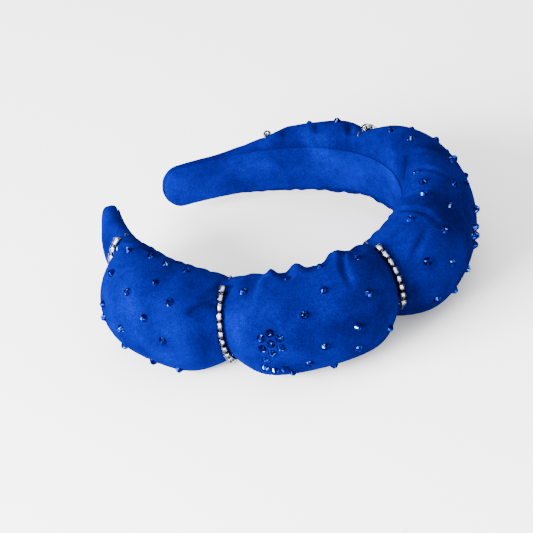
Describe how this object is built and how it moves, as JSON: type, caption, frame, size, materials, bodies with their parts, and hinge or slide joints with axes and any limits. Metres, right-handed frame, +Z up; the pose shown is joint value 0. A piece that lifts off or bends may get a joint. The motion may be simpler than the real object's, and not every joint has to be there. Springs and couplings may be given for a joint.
{
  "type": "padded headband",
  "caption": "C-shaped padded headband in blue faux suede, drawn in by beaded threads, set with flat-back crystals, with a springy strip core that flexes open.",
  "frame": {"origin": "middle of the underside of the whole headband, which lies on its edge", "axes": "+X towards the crown of the C, +Y from the near end's side to the far end's side, +Z up, across the band's width"},
  "size_m": [0.1848, 0.1808, 0.0518],
  "materials": {
    "suede": "matte faux suede with a short nap",
    "lining_suede": "matte faux suede",
    "core_plastic": "satin",
    "wadding": "white polyester wadding",
    "thread": "black polyester thread",
    "glass_bead": "clear glass with a silver-lined bore",
    "crystal": "faceted sapphire blue glass with a foil back"
  },
  "bodies": {
    "near_half": {"band_core": "core_plastic", "bead_row_1": "glass_bead", "bead_row_2": "glass_bead", "bead_row_3": "glass_bead", "flower_1_centre": "crystal", "flower_1_petal_1": "crystal", "flower_1_petal_2": "crystal", "flower_1_petal_3": "crystal", "flower_1_petal_4": "crystal", "flower_1_petal_5": "crystal", "flower_1_petal_6": "crystal", "flower_1_stem_1": "crystal", "flower_1_stem_2": "crystal", "flower_1_stem_3": "crystal", "flower_1_stem_4": "crystal", "lining": "lining_suede", "stone_01": "crystal", "stone_02": "crystal", "stone_03": "crystal", "stone_04": "crystal", "stone_05": "crystal", "stone_06": "crystal", "stone_07": "crystal", "stone_08": "crystal", "stone_09": "crystal", "stone_10": "crystal", "stone_11": "crystal", "stone_12": "crystal", "stone_13": "crystal", "stone_14": "crystal", "stone_15": "crystal", "stone_16": "crystal", "suede_cover": "suede", "thread_1": "thread", "thread_2": "thread", "thread_3": "thread", "wadding_1": "wadding", "wadding_2": "wadding", "wadding_near_end": "wadding"},
    "far_half": {"bead_row_4": "glass_bead", "bead_row_5": "glass_bead", "flower_2_centre": "crystal", "flower_2_petal_1": "crystal", "flower_2_petal_2": "crystal", "flower_2_petal_3": "crystal", "flower_2_petal_4": "crystal", "flower_2_petal_5": "crystal", "flower_2_petal_6": "crystal", "stone_17": "crystal", "stone_18": "crystal", "stone_19": "crystal", "stone_20": "crystal", "stone_21": "crystal", "stone_22": "crystal", "stone_23": "crystal", "thread_4": "thread", "thread_5": "thread", "wadding_3": "wadding", "wadding_4": "wadding", "wadding_far_end": "wadding"}
  },
  "joints": [
    {"name": "band_flex", "type": "hinge", "parent": "near_half", "child": "far_half", "pos_m": [0.05511, -0.00725, 0.0248], "axis": [0, 0, -1], "range_deg": [-6, 24], "stiffness_Nm_per_rad": 0.66, "deforming": ["band_core", "suede_cover", "lining", "wadding_2", "wadding_3"]}
  ]
}
